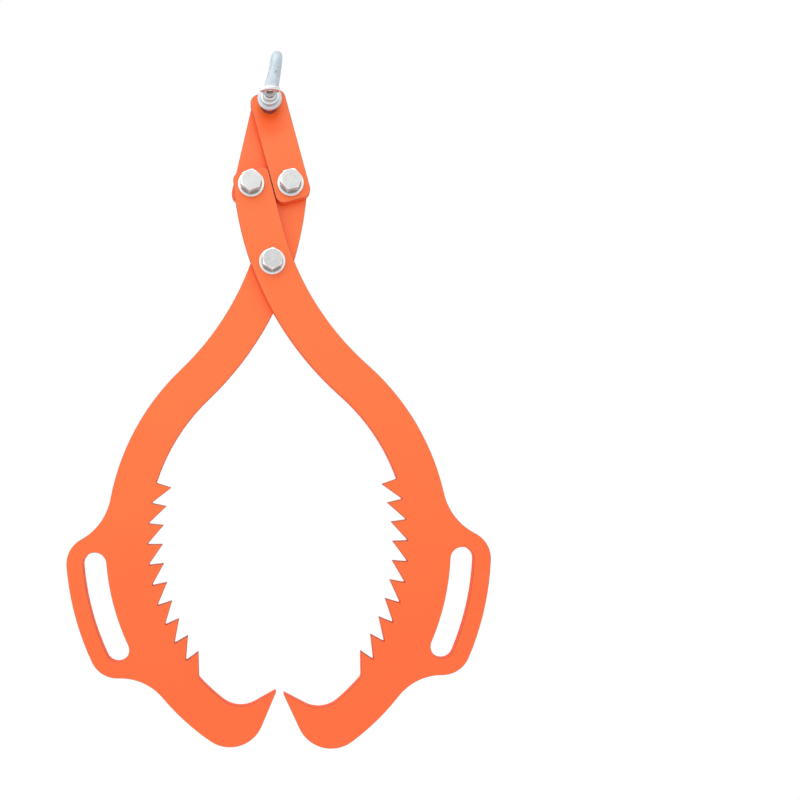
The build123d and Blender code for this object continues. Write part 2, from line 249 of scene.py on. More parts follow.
class MetalSettings(bpy.types.PropertyGroup):
    """Colours of the bare fittings, and the form of their edges and threads."""

    zinc_colour: colour_of(
        "Zinc colour", "Colour of the bright plated bolts, nuts and washers", 0.535, 0.55, 0.55
    )
    warm_colour: colour_of("Warm colour", "Colour of the plating's warmer patches", 0.59, 0.59, 0.57)
    stain_colour: colour_of("Stain colour", "Colour of the plating's small stains", 0.40, 0.42, 0.44)
    # Painted shade with a warm painted reflection on the washers' inner faces
    washer_shade_colour: colour_of(
        "Washer shade colour", "Colour of the duller faces of the stamped washers", 0.37, 0.31, 0.295
    )
    # A painted highlight on rims and edges, and the lighter grain of the zinc
    grain_and_highlight_colour: colour_of("Grain and highlight colour", "Colour of rims that are rubbed bright", 0.86, 0.87, 0.88)
    # Also a painted highlight on the ears around the pin
    polish_and_highlight_colour: colour_of("Polish and highlight colour", "Colour of the brighter shackle pin", 0.68, 0.70, 0.72)
    # Painted reflection: the orange coat mirrored on the pin's shank
    shank_reflection_colour: colour_of(
        "Shank reflection colour", "Colour of the pin's shank, where the links have left coat on it", 0.95, 0.44, 0.38
    )
    galvanised_colour: colour_of(
        "Galvanised colour", "Colour of the dipped shackle", 0.49, 0.57, 0.625
    )
    pale_colour: colour_of("Pale colour", "Colour of the paler patches of the dip", 0.58, 0.65, 0.69)
    dull_colour: colour_of("Dull colour", "Colour of the dull runs of the dip", 0.36, 0.41, 0.46)
    speck_colour: colour_of("Speck colour", "Colour of the dark specks in the dip", 0.16, 0.18, 0.20)
    # Painted shade: the dark colour in the shackle's creases
    crease_shade_colour: colour_of("Crease shade colour", "Colour of the shackle's creases", 0.10, 0.10, 0.11)
    # Painted shade: the dark colour in the pin's eye and on the ears' inner faces
    hollow_shade_colour: colour_of("Hollow shade colour", "Colour of the grime on the shackle", 0.16, 0.045, 0.03)
    nylon_colour: colour_of(
        "Nylon colour", "Colour of the locking rings in the nuts", 0.70, 0.72, 0.70
    )
    nylon_shade: colour_of("Nylon shade", "Colour of the rings' darker clouds", 0.60, 0.63, 0.62)
    frost_depth: length_of("Frost depth", "Height of the frost on the plating", 0.012 * MM)
    lump_depth: length_of("Lump depth", "Height of the lumps in the dip", 0.06 * MM)
    nylon_depth: length_of("Nylon depth", "Height of the nylon's moulded grain", 0.02 * MM)
    fastener_rounding: length_of(
        "Fastener rounding", "Width of the rounded edges of bolts and nuts", 0.45 * MM
    )
    washer_rounding: length_of(
        "Washer rounding", "Width of the rounded edges of the washers", 0.7 * MM
    )
    washer_rim: length_of("Washer rim", "Width of the bright rim on a washer's faces", 2.0 * MM)
    bolt_pitch: length_of("Bolt pitch", "Distance between two turns of a bolt's thread", 2.0 * MM)
    pin_pitch: length_of("Pin pitch", "Distance between two turns of the pin's thread", 1.75 * MM)
    forging_grain: length_of(
        "Forging grain", "Size of the mesh that softens the shackle's forged corners", 0.55 * MM
    )
    forging_passes: IntProperty(
        name="Forging passes",
        description="How often the forged corners are softened",
        min=0,
        default=9,
    )


class StageSettings(bpy.types.PropertyGroup):
    """Floor, lamps and camera."""

    floor_colour: colour_of("Floor colour", "Colour of the plain floor", 0.90, 0.90, 0.90)
    floor_shade: colour_of("Floor shade", "Colour of the floor's faint grain", 0.80, 0.80, 0.80)
    floor_drop: length_of("Floor drop", "Height of the hooks above the floor", 0.18)
    shadow_reach: length_of(
        "Shadow reach", "Distance from the middle at which the floor has turned white", 0.30
    )
    ambient: FloatProperty(
        name="Ambient light", description="Strength of the even light from all sides", default=0.88
    )
    key_power: power_of("Key lamp", "Power of the large lamp above the front", 18.0)
    fill_power: power_of("Fill lamp", "Power of the lamp at the left", 4.0)
    camera_side: length_of("Camera side", "From the hook's seat to the camera, to the right", -0.03384)
    camera_height: length_of("Camera height", "From the hook's seat up to the camera", -0.40918)
    camera_distance: length_of(
        "Camera distance", "From the lens to the middle of the front plates", 0.74
    )
    picture_width: length_of("Picture width", "Width of the picture at the front plates", 0.816327)
    camera_roll: FloatProperty(
        name="Camera roll",
        description="Turn of the camera about its own line of sight",
        subtype="ANGLE",
        unit="ROTATION",
        default=math.radians(-1.035),
    )
    shift_right: FloatProperty(
        name="Shift right", description="Lens shift, as a share of the picture's width", default=0.1872
    )
    shift_up: FloatProperty(
        name="Shift up", description="Lens shift, as a share of the picture's width", default=0.08
    )


class Wire:
    """One output of a node tree, for use in Python expressions."""

    def __init__(self, bench, socket):
        self.bench = bench
        self.socket = socket

    def _math(self, operation, first, second=0.0):
        return self.bench.node(
            "ShaderNodeMath", {"operation": operation}, {0: first, 1: second}
        )

    def __add__(self, other):
        return self._math("ADD", self, other)

    def __radd__(self, other):
        return self._math("ADD", other, self)

    def __sub__(self, other):
        return self._math("SUBTRACT", self, other)

    def __rsub__(self, other):
        return self._math("SUBTRACT", other, self)

    def __mul__(self, other):
        return self._math("MULTIPLY", self, other)

    def __rmul__(self, other):
        return self._math("MULTIPLY", other, self)

    def __truediv__(self, other):
        return self._math("DIVIDE", self, other)

    def __rtruediv__(self, other):
        return self._math("DIVIDE", other, self)

    def __abs__(self):
        return self._math("ABSOLUTE", self)

    def __neg__(self):
        return self._math("MULTIPLY", self, -1.0)

    def part(self):
        """What is left of the value after its whole turns."""
        return self._math("FRACT", self)

    def sine(self):
        return self._math("SINE", self)

    def cosine(self):
        return self._math("COSINE", self)

    def least(self, other):
        return self._math("MINIMUM", self, other)

    def most(self, other):
        return self._math("MAXIMUM", self, other)

    def above(self, other):
        """1 where the value is larger, or else 0."""
        return self._math("GREATER_THAN", self, other)

    def between(self, low, high):
        """Runs from low, where the value is 0, to high, where it is 1."""
        return low + self * (high - low)


class Bench:
    """A node tree and the one way in which nodes are added to it."""

    def __init__(self, tree):
        self.tree = tree

    def node(self, kind, settings=None, values=None, output=0):
        """Adds a node, sets it up, then feeds its sockets with values or wires."""
        made = self.tree.nodes.new(kind)
        for key, value in (settings or {}).items():
            setattr(made, key, value)
        for key, value in (values or {}).items():
            for entry in value if isinstance(value, list) else [value]:
                if isinstance(entry, Wire):
                    self.tree.links.new(entry.socket, made.inputs[key])
                else:
                    made.inputs[key].default_value = entry
        return Wire(self, made.outputs[output]) if made.outputs else made

    def ramp(self, value, low, high):
        """0 below low and 1 above high, with a soft passage between."""
        return self.node(
            "ShaderNodeMapRange",
            {"interpolation_type": "SMOOTHSTEP"},
            {"Value": value, "From Min": low, "From Max": high},
        )

    def axes(self, vector):
        """The three numbers of a vector."""
        split = self.node("ShaderNodeSeparateXYZ", None, {"Vector": vector})
        return [Wire(self, socket) for socket in split.socket.node.outputs]

    def vector(self, operation, first, second):
        """A vector worked out from two others."""
        return self.node("ShaderNodeVectorMath", {"operation": operation}, {0: first, 1: second})

    def reach(self, vector):
        """How long a vector is."""
        return self.node("ShaderNodeVectorMath", {"operation": "LENGTH"}, {0: vector}, "Value")

    def seen(self):
        """1 for what the camera sees, also in a mirror or through something clear, or else 0."""
        rays = self.node("ShaderNodeLightPath").socket.node.outputs
        found = Wire(self, rays["Is Camera Ray"])
        for kind in ("Is Glossy Ray", "Is Transmission Ray"):
            found = found.most(Wire(self, rays[kind]))
        return found


class Finish(Bench):
    """A material under construction."""

    def __init__(self, name):
        self.material = bpy.data.materials.new(name)
        self.material.use_nodes = True
        super().__init__(self.material.node_tree)
        self.tree.nodes.clear()

    def spot(self):
        """Where a point lies on the object."""
        return self.node("ShaderNodeTexCoord", None, None, "Object")

    def place(self):
        """Where a point lies on the object, in millimetres."""
        return self.scaled(self.spot(), (1 / MM, 1 / MM, 1 / MM))

    def scaled(self, vector, factors):
        """A vector stretched along each axis."""
        return self.vector("MULTIPLY", vector, factors)

    def noise(self, vector, size, detail=2.0, roughness=0.5):
        """Cloudy values from 0 to 1 whose patches are about size wide."""
        return self.node(
            "ShaderNodeTexNoise",
            None,
            {"Vector": vector, "Scale": 1 / size, "Detail": detail, "Roughness": roughness},
        )

    def mark(self, name):
        """A value that the mesh carries."""
        return self.node("ShaderNodeAttribute", {"attribute_name": name}, None, "Fac")

    def mix(self, factor, first, second):
        """A colour between two others."""
        return self.node(
            "ShaderNodeMix",
            {"data_type": "RGBA"},
            {"Factor": factor, 6: first, 7: second},
            2,
        )

    def bump(self, height, distance):
        """A surface raised by height times distance."""
        return self.node(
            "ShaderNodeBump", None, {"Height": height, "Distance": distance, "Strength": 1.0}
        )

    def shader(self, **sockets):
        """A surface with the given values."""
        values = {key.replace("_", " "): value for key, value in sockets.items()}
        return self.node("ShaderNodeBsdfPrincipled", None, values)

    def close(self, surface):
        """Ends the tree in a surface and returns the material."""
        self.node("ShaderNodeOutputMaterial", None, {"Surface": surface})
        return self.material


def powder_coat(settings):
    """Satin powder coat: a fine peel, faint clouds and dust specks, with painted shade and a painted
    shadow in its colour.
    """
    coat = Finish("orange_powder_coat")
    place = coat.place()
    cloud = coat.noise(place, COAT_CLOUD, detail=3.0)
    fine = coat.noise(place, COAT_PATCH, detail=4.0, roughness=0.6)
    peel = coat.noise(place, COAT_PEEL)

    # Dust under the coat: a dark dot in a few of many small cells
    cells = coat.node(
        "ShaderNodeTexVoronoi", {"feature": "F1"}, {"Vector": place, "Scale": 1 / DUST_CELL}
    )
    chance = coat.axes(Wire(coat, cells.socket.node.outputs["Color"]))[0]
    dust = (1 - coat.ramp(cells, *DUST_DOT)) * coat.ramp(chance, *DUST_CHANCE)

    # Painted shade: the coat is darker towards the hooks and lighter towards the top
    height = coat.axes(place)[2] + (cloud - 0.5) * SHADE_WAVER
    tone = coat.mix(coat.ramp(height, *SHADE_HEIGHTS), settings.lower_shade_colour, settings.colour)

    # A painted shadow under the top holes, alike on both links
    middle = (PIN_AXIS.x / MM, 0.0, PIN_AXIS.z / MM - SHADOW_DROP)
    away = coat.reach(coat.scaled(coat.vector("SUBTRACT", place, middle), ALONG_PLATE))
    painted_shadow = 1.0 - coat.ramp(away + (fine - 0.5) * SHADOW_WAVER, *SHADOW_FADE)
    tone = coat.mix(painted_shadow, tone, settings.painted_shadow_colour)

    # A painted shade, a dark line along the rounded rims
    rim_shade = coat.mark("rim") * coat.ramp(fine, *RIM_SHADE_LEVELS).between(0.70, 1.0)
    tone = coat.mix(rim_shade, tone, settings.rim_shade_colour)
    tone = coat.mix(dust * DUST_SHARE, tone, settings.dust_colour)
    face = coat.shader(
        Base_Color=tone,
        Roughness=fine.between(0.30, 0.40),
        Normal=coat.bump(peel - dust * 1.5, settings.peel_depth),
        IOR=1.47,
    )

    # Cut walls: duller, in a painted shade of deeper red, with faint lines of the cutting beam across the
    # plate's thickness
    beam = coat.noise(coat.scaled(place, ACROSS_PLATE), BEAM_LINE)
    lines = coat.ramp(beam, *BEAM_LEVELS) * BEAM_SHARE
    tone = coat.mix(lines, settings.wall_shade_colour, settings.colour)
    # A painted shade on the flanks of the teeth
    flank_shade = coat.mark("flank") * coat.ramp(fine, *FLANK_SHADE_LEVELS).between(0.45, 0.80)
    tone = coat.mix(flank_shade, tone, settings.flank_shade_colour)
    wall = coat.shader(
        Base_Color=tone,
        Roughness=fine.between(0.46, 0.58),
        Normal=coat.bump(peel * 0.5 + beam * 1.2, settings.peel_depth),
        Specular_IOR_Level=0.15,
    )
    cut = coat.mark("cut")
    return coat.close(coat.node("ShaderNodeMixShader", None, {0: cut, 1: face, 2: wall}))


def bright_zinc(settings):
    """Bright plating: frosted grain, warm patches and small stains, with a painted shade on the washers'
    duller faces and painted highlights on rims.
    """
    zinc = Finish("bright_zinc")
    place = zinc.place()
    frost = zinc.noise(place, ZINC_FROST, detail=3.0, roughness=0.6)
    patch = zinc.noise(place, ZINC_PATCH, detail=3.0)
    smear = zinc.noise(zinc.scaled(place, ZINC_STROKE), ZINC_SMEAR, detail=3.0, roughness=0.6)
    grain = zinc.ramp(zinc.noise(place, ZINC_GRAIN, roughness=0.6), *GRAIN_LEVELS)
    stain = zinc.ramp(smear, *STAIN_LEVELS)
    dull = zinc.mark("dull")
    shine = zinc.mark("shine")
    tone = zinc.mix(zinc.ramp(patch, *ZINC_WARMTH), settings.zinc_colour, settings.warm_colour)
    tone = zinc.mix(stain * STAIN_SHARE, tone, settings.stain_colour)
    tone = zinc.mix(grain * GRAIN_SHARE, tone, settings.grain_and_highlight_colour)
    # A painted shade with a warm painted reflection on the washers' duller inner faces
    tone = zinc.mix(dull * patch.between(0.65, 1.0), tone, settings.washer_shade_colour)
    # A painted highlight on the washers' rims and on the bolts' rounded head edges
    tone = zinc.mix(shine * patch.between(0.70, 1.0), tone, settings.grain_and_highlight_colour)
    surface = zinc.shader(
        Base_Color=tone,
        Metallic=1.0,
        Roughness=patch.between(0.27, 0.41) + stain * 0.12 + dull * 0.08,
        Normal=zinc.bump(frost + smear * 0.6, settings.frost_depth),
    )
    return zinc.close(surface)


def galvanised(settings):
    """Dipped zinc: grey-blue mottling, dull runs, dark specks and soft lumps, or a bright polished
    finish. Painted shade lies in its creases and hollows, painted highlights on its ears and, with rubbed
    wear, on its edges, and a painted reflection on the pin's shank.
    """
    dip = Finish("galvanised_zinc")
    place = dip.place()
    mottle = dip.noise(place, DIP_MOTTLE, detail=4.0, roughness=0.6)
    run = dip.noise(dip.scaled(place, DIP_FALL), DIP_RUN, detail=4.0, roughness=0.65)
    lump = dip.noise(place, DIP_LUMP, detail=3.0)
    grit = dip.noise(place, DIP_GRIT)
    speck = dip.ramp(dip.noise(place, DIP_SPECK), *SPECK_LEVELS)
    speck = speck * dip.ramp(dip.noise(place, DIP_SPECK_PATCH), *SPECK_PATCHES)
    dull = dip.ramp(run, *DULL_LEVELS)
    polish = dip.mark("polish")
    grime = dip.mark("grime")
    rub = dip.mark("rub")
    turn = dip.mark("turn")
    crease_shade = dip.ramp(turn, *CREASE_SHADE_TURNS)
    edge = dip.ramp(-turn, *EDGE_HIGHLIGHT_TURNS)
    tone = dip.mix(dip.ramp(mottle, *MOTTLE_LEVELS), settings.galvanised_colour, settings.pale_colour)
    tone = dip.mix(dull * DULL_SHARE, tone, settings.dull_colour)
    tone = dip.mix(speck * SPECK_SHARE, tone, settings.speck_colour)
    # The polished pin, and on the ears around it partly a painted highlight
    tone = dip.mix(polish * mottle.between(0.75, 1.0), tone, settings.polish_and_highlight_colour)
    # A painted shade in the creases
    tone = dip.mix(crease_shade * CREASE_SHADE_SHARE, tone, settings.crease_shade_colour)
    # Brighter edges, partly rubbed wear and partly a painted highlight
    tone = dip.mix(edge * EDGE_HIGHLIGHT_SHARE, tone, settings.grain_and_highlight_colour)
    # A painted reflection of the orange coat on the pin's shank, which is less metallic there
    tone = dip.mix(rub * mottle.between(0.75, 1.0), tone, settings.shank_reflection_colour)
    # A painted shade in the pin's eye and on the ears' inner faces
    tone = dip.mix(grime * grit.between(0.80, 1.0), tone, settings.hollow_shade_colour)
    rough = mottle.between(0.52, 0.66) + dull * 0.08
    surface = dip.shader(
        Base_Color=tone,
        Metallic=dull.between(0.60, 0.40).most(polish) * (1.0 - grime) * (1.0 - rub),
        Roughness=rough - polish * 0.34 + crease_shade * 0.15 + grime * 0.30,
        Normal=dip.bump((lump * 1.6 + grit * 0.4) * (1.0 - polish * 0.8), settings.lump_depth),
    )
    return dip.close(surface)


def nylon(settings):
    """Pale nylon with a faint moulded grain."""
    ring = Finish("nylon")
    place = ring.place()
    grain = ring.noise(place, NYLON_GRAIN, detail=3.0)
    cloud = ring.ramp(ring.noise(place, NYLON_CLOUD), *NYLON_LEVELS)
    surface = ring.shader(
        Base_Color=ring.mix(cloud, settings.nylon_colour, settings.nylon_shade),
        Roughness=grain.between(0.42, 0.54),
        Normal=ring.bump(grain, settings.nylon_depth),
    )
    return ring.close(surface)


FINISHES = {
    "orange_coat": (powder_coat, "tongs_coat"),
    "bright_zinc": (bright_zinc, "tongs_metal"),
    "galvanised": (galvanised, "tongs_metal"),
    "nylon": (nylon, "tongs_metal"),
}


def finish_of(context, slot):
    """The material of a slot, made once."""
    maker, group = FINISHES[slot]
    made = bpy.data.materials.get(f"finish_{slot}")
    if made is None:
        made = maker(getattr(context.scene, group))
        made.name = f"finish_{slot}"
    return made


def merged_copy(node):
    """A CAD node's form as a welded mesh of whole flat faces."""
    form = bmesh.new()
    form.from_mesh(frame["nodes"][node].data)
    bmesh.ops.remove_doubles(form, verts=form.verts, dist=MERGE_DISTANCE)
    bmesh.ops.dissolve_limit(
        form, angle_limit=FLAT_ANGLE, verts=form.verts, edges=form.edges, use_dissolve_boundaries=False
    )
    return form


def plain_mesh(form, name):
    """A new mesh with a form's corners and faces and nothing else."""
    form.verts.index_update()
    corners = [vert.co.copy() for vert in form.verts]
    faces = [[vert.index for vert in face.verts] for face in form.faces]
    form.free()
    mesh = bpy.data.meshes.new(name)
    mesh.from_pydata(corners, [], faces)
    mesh.shade_smooth()
    return mesh


def bench_object(mesh, name):
    """An object to work on until it is settled."""
    work = bpy.data.objects.new(f"{name}_work", mesh)
    bpy.context.scene.collection.objects.link(work)
    return work


def round_edges(work, width, angle, segments=3):
    """Rounds the edges that turn by more than an angle and evens the shading."""
    rounding = work.modifiers.new("Rounded edges", "BEVEL")
    rounding.width = width
    rounding.segments = segments
    rounding.limit_method = "ANGLE"
    rounding.angle_limit = angle
    rounding.miter_outer = "MITER_ARC"
    even_shading(work)


def round_rims(work, width, segments=3):
    """Rounds the edges between a plate's faces and its walls and evens the shading."""
    mesh = work.data
    flat, wall = set(), set()
    for face in mesh.polygons:
        (flat if abs(face.normal.y) > PLATE_FLAT else wall).update(face.edge_keys)
    weights = mesh.attributes.new("bevel_weight_edge", "FLOAT", "EDGE")
    rims = flat & wall
    weights.data.foreach_set("value", [float(edge.key in rims) for edge in mesh.edges])
    rounding = work.modifiers.new("Rounded rims", "BEVEL")
    rounding.width = width
    rounding.segments = segments
    rounding.use_clamp_overlap = False
    rounding.limit_method = "WEIGHT"
    even_shading(work)


def even_shading(work):
    """Lets the large faces of a worked object shade flat."""
    even = work.modifiers.new("Even shading", "WEIGHTED_NORMAL")
    even.weight = LARGE_FACE_WEIGHT
    even.keep_sharp = True


def soften(work, metal, grain):
    """Turns hard joins into the soft corners of a forging."""
    remesh = work.modifiers.new("Forging", "REMESH")
    remesh.mode = "VOXEL"
    remesh.voxel_size = grain
    remesh.use_smooth_shade = True
    smooth = work.modifiers.new("Soft corners", "SMOOTH")
    smooth.factor = SMOOTH_FACTOR
    smooth.iterations = metal.forging_passes


def made_mesh(work, name):
    """The worked object's final mesh. The object itself is cleared away."""
    depsgraph = bpy.context.evaluated_depsgraph_get()
    mesh = bpy.data.meshes.new_from_object(
        work.evaluated_get(depsgraph), preserve_all_data_layers=True, depsgraph=depsgraph
    )
    mesh.name = name
    bpy.data.objects.remove(work)
    return mesh


def settle(context, mesh, node, slot):
    """Puts a finished mesh in the place of a CAD node, on that node's body."""
    if not mesh.polygons:
        raise RuntimeError(f"{node} came out empty")
    mesh.materials.clear()
    mesh.materials.append(finish_of(context, slot))
    piece = bpy.data.objects.new(f"{node}_dressed", mesh)
    context.scene.collection.objects.link(piece)
    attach(piece, BODY_OF[node])
    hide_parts(node)


def mark_faces(mesh, name, test):
    """Gives a mesh a mark that is 1 on the faces that pass a test."""
    marks = mesh.attributes.new(name, "FLOAT", "FACE")
    marks.data.foreach_set("value", [float(test(face)) for face in mesh.polygons])


def mark_points(mesh, name, values):
    """Gives a mesh a mark with one value to each corner."""
    marks = mesh.attributes.new(name, "FLOAT", "POINT")
    marks.data.foreach_set("value", [float(value) for value in values])


def mark_turns(mesh, passes):
    """Marks how sharply a surface turns, per millimetre: above 0 in creases, below 0 on edges."""
    turns = [0.0] * len(mesh.vertices)
    ties = [0] * len(mesh.vertices)
    places = [vert.co.copy() for vert in mesh.vertices]
    normals = [vert.normal.copy() for vert in mesh.vertices]
    pairs = [tuple(edge.vertices) for edge in mesh.edges]

    # A corner's turn is the mean bend along its edges, then evened out among its neighbours
    for one, two in pairs:
        step = places[two] - places[one]
        bend = 2.0 * MM / max(step.length_squared, MERGE_DISTANCE**2)
        turns[one] += bend * step.dot(normals[one])
        turns[two] -= bend * step.dot(normals[two])
        ties[one] += 1
        ties[two] += 1
    turns = [turn / max(tie, 1) for turn, tie in zip(turns, ties)]
    for _ in range(passes):
        sums = turns[:]
        for one, two in pairs:
            sums[one] += turns[two]
            sums[two] += turns[one]
        turns = [total / (tie + 1) for total, tie in zip(sums, ties)]
    mark_points(mesh, "turn", turns)


def flank_faces(form):
    """The walls that meet another wall at a sharp corner, as a tooth's flanks do."""
    form.normal_update()
    form.faces.index_update()
    flanks = set()
    for edge in form.edges:
        run = edge.verts[1].co - edge.verts[0].co
        across = abs(run.y) > STRAIGHT_ACROSS * run.length
        if across and edge.calc_face_angle(0.0) > SHARP_ANGLE:
            flanks.update(face.index for face in edge.link_faces)
    return flanks


def mark_plate(mesh, low, high, width):
    """Marks a plate's rounded rims and its cut walls for the coat."""

    def is_rim(face):
        depth = min(face.center.y - low, high - face.center.y)
        return RIM_START * width < depth < width

    mark_faces(mesh, "rim", is_rim)
    mark_faces(mesh, "cut", lambda face: abs(face.normal.y) < PLATE_WALL and not is_rim(face))


def make_plate(context, node):
    """A coated plate with rounded edges."""
    coat = context.scene.tongs_coat
    form = merged_copy(node)
    flanks = flank_faces(form)
    mesh = plain_mesh(form, node)
    mark_faces(mesh, "flank", lambda face: face.index in flanks)
    work = bench_object(mesh, node)
    round_rims(work, coat.edge_rounding)
    mesh = made_mesh(work, node)
    low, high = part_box(node)
    mark_plate(mesh, low.y, high.y, coat.edge_rounding)
    settle(context, mesh, node, "orange_coat")


def make_fitting(context, node, slot, angle):
    """A fastener with lightly rounded edges."""
    work = bench_object(plain_mesh(merged_copy(node), node), node)
    round_edges(work, context.scene.tongs_metal.fastener_rounding, angle, segments=2)
    settle(context, made_mesh(work, node), node, slot)


def make_washer(context, node):
    """A flat washer whose inner faces are duller and carry a painted shade, inside rims with a painted
    highlight.
    """
    metal = context.scene.tongs_metal
    form = merged_copy(node)
    form.normal_update()
    flats = [face for face in form.faces if abs(face.normal.y) > WASHER_FLAT]
    bmesh.ops.inset_region(
        form, faces=flats, thickness=metal.washer_rim, use_even_offset=True, use_boundary=True
    )
    work = bench_object(plain_mesh(form, node), node)
    round_edges(work, metal.washer_rounding, SOFT_ANGLE)
    mesh = made_mesh(work, node)
    low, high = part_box(node)
    middle = (low + high) / 2
    limit = (high.x - low.x) / 2 - metal.washer_rim * SHADE_LIMIT

    def is_shaded(face):
        corners = [mesh.vertices[index].co - middle for index in face.vertices]
        widest = max(math.hypot(corner.x, corner.z) for corner in corners)
        return abs(face.normal.y) > WASHER_FLAT and widest < limit

    # Duller inner faces with a painted shade and a warm painted reflection
    mark_faces(mesh, "dull", is_shaded)
    # A painted highlight on all other faces: rims, edges and walls
    mark_faces(mesh, "shine", lambda face: not is_shaded(face))
    settle(context, mesh, node, "bright_zinc")


def thread_tree():
    """Geometry nodes that add a screw thread, closed at both ends, to a bolt or pin."""
    tree = bpy.data.node_groups.new("Screw thread", "GeometryNodeTree")
    for name, kind in (
        ("Geometry", "NodeSocketGeometry"),
        ("Start", "NodeSocketVector"),
        ("Length", "NodeSocketFloat"),
        ("Radius", "NodeSocketFloat"),
        ("Pitch", "NodeSocketFloat"),
        ("Depth", "NodeSocketFloat"),
        ("Point", "NodeSocketFloat"),
        ("Rows", "NodeSocketInt"),
        ("Columns", "NodeSocketInt"),
        ("Material", "NodeSocketMaterial"),
    ):
        tree.interface.new_socket(name, in_out="INPUT", socket_type=kind)
    tree.interface.new_socket("Geometry", in_out="OUTPUT", socket_type="NodeSocketGeometry")
    bench = Bench(tree)
    given = bench.node("NodeGroupInput").socket.node.outputs
    size = {socket.name: Wire(bench, socket) for socket in given if socket.name}
    sheet = bench.node(
        "GeometryNodeMeshGrid",
        None,
        {"Size X": 1.0, "Size Y": 1.0, "Vertices X": size["Columns"], "Vertices Y": size["Rows"]},
    )

    # The sheet's sides are shares of a turn and of the length, from 0 to 1
    across, up, _ = bench.axes(bench.node("GeometryNodeInputPosition"))
    turn = across + 0.5
    along = up + 0.5

    # The first and the last row close the ends, and those between run along the thread
    step = 1.0 / (size["Rows"] - 1.0)
    inside = along.above(step * 0.5) * (1.0 - along).above(step * 0.5)
    reach = bench.node(
        "ShaderNodeMapRange", None, {"Value": along, "From Min": step, "From Max": 1.0 - step}
    ) * size["Length"]
    wave = abs((reach / size["Pitch"] - turn).part() * 2.0 - 1.0)
    groove = bench.ramp(wave, *THREAD_FLANK) * size["Depth"]
    pointed = size["Radius"] - (reach - size["Length"] + size["Point"]).most(0.0)
    radius = (size["Radius"] - groove).least(pointed) * inside
    angle = turn * math.tau
    place = bench.node(
        "ShaderNodeCombineXYZ",
        None,
        {"X": radius * angle.sine(), "Y": reach, "Z": radius * angle.cosine()},
    )
    place = bench.vector("ADD", place, size["Start"])
    screw = bench.node("GeometryNodeSetPosition", None, {"Geometry": sheet, "Position": place})
    screw = bench.node(
        "GeometryNodeMergeByDistance", None, {"Geometry": screw, "Distance": MERGE_DISTANCE}
    )
    both = bench.node("GeometryNodeJoinGeometry", None, {"Geometry": [size["Geometry"], screw]})
    both = bench.node("GeometryNodeRealizeInstances", None, {"Geometry": both})
    both = bench.node(
        "GeometryNodeSetMaterial", None, {"Geometry": both, "Material": size["Material"]}
    )
    bench.node("NodeGroupOutput", None, {"Geometry": both})
    return tree


def add_thread(work, node, start, radius, pitch, point, material):
    """Adds a thread from start to the node's rear end, its sizes set before it is first worked out."""
    low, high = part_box(node)
    length = high.y - start
    sizes = {
        "Start": ((low.x + high.x) / 2, start, (low.z + high.z) / 2),
        "Length": length,
        "Radius": radius,
        "Pitch": pitch,
        "Depth": pitch * THREAD_DEPTH,
        "Point": point,
        "Rows": round(length / pitch * ROWS_PER_TURN),
        "Columns": THREAD_COLUMNS,
        "Material": material,
    }
    tree = bpy.data.node_groups.get("Screw thread") or thread_tree()
    thread = work.modifiers.new("Screw thread", "NODES")
    thread.node_group = tree
    for item in tree.interface.items_tree:
        if item.in_out == "INPUT" and item.name in sizes:
            thread[item.identifier] = sizes[item.name]


def cut_off(form, y):
    """Takes away what lies behind y and closes the cut."""
    everything = form.verts[:] + form.edges[:] + form.faces[:]
    cut = bmesh.ops.bisect_plane(
        form, geom=everything, plane_co=(0.0, y, 0.0), plane_no=(0.0, 1.0, 0.0), clear_outer=True
    )
    edges = [item for item in cut["geom_cut"] if isinstance(item, bmesh.types.BMEdge)]
    bmesh.ops.contextual_create(form, geom=edges)


def face_out(mesh):
    """Turns every face of a closed mesh outwards."""
    form = bmesh.new()
    form.from_mesh(mesh)
    bmesh.ops.recalc_face_normals(form, faces=form.faces)
    form.to_mesh(mesh)
    form.free()


def make_bolt(context, side):
    """A hex bolt with a rounded head and a screw thread behind its nut."""
    metal = context.scene.tongs_metal
    node = f"{side}_bolt"
    nut_low, nut_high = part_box(f"{side}_lock_nut")
    start = (nut_low.y + nut_high.y) / 2
    form = merged_copy(node)
    cut_off(form, start)
    work = bench_object(plain_mesh(form, node), node)
    round_edges(work, metal.fastener_rounding, HEX_ANGLE, segments=2)
    zinc = finish_of(context, "bright_zinc")
    add_thread(work, node, start, BOLT_RADIUS, metal.bolt_pitch, BOLT_POINT, zinc)
    mesh = made_mesh(work, node)
    face_out(mesh)
    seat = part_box(f"{side}_head_washer")[0].y
    low, high = HEAD_BEVEL
    # A painted highlight on the rounded edges of the head
    mark_faces(mesh, "shine", lambda face: face.center.y < seat and low < abs(face.normal.y) < high)
    settle(context, mesh, node, "bright_zinc")


class TONGS_OT_make_arms(bpy.types.Operator):
    """Make the two claw arms with their teeth, hand slots and hooks"""

    bl_idname = "tongs.make_arms"
    bl_label = "Claw Arms"

    def execute(self, context):
        for node in ARMS:
            make_plate(context, node)
        return {"FINISHED"}


class TONGS_OT_make_links(bpy.types.Operator):
    """Make the two links between the shackle pin and the arms"""

    bl_idname = "tongs.make_links"
    bl_label = "Links"

    def execute(self, context):
        for node in LINKS:
            make_plate(context, node)
        return {"FINISHED"}


class TONGS_OT_make_bolts(bpy.types.Operator):
    """Make the three hex bolts with their threads"""

    bl_idname = "tongs.make_bolts"
    bl_label = "Bolts"

    def execute(self, context):
        for side in SIDES:
            make_bolt(context, side)
        return {"FINISHED"}


class TONGS_OT_make_washers(bpy.types.Operator):
    """Make the flat washers under the heads and nuts"""

    bl_idname = "tongs.make_washers"
    bl_label = "Washers"

    def execute(self, context):
        for side in SIDES:
            make_washer(context, f"{side}_head_washer")
            make_washer(context, f"{side}_nut_washer")
        return {"FINISHED"}


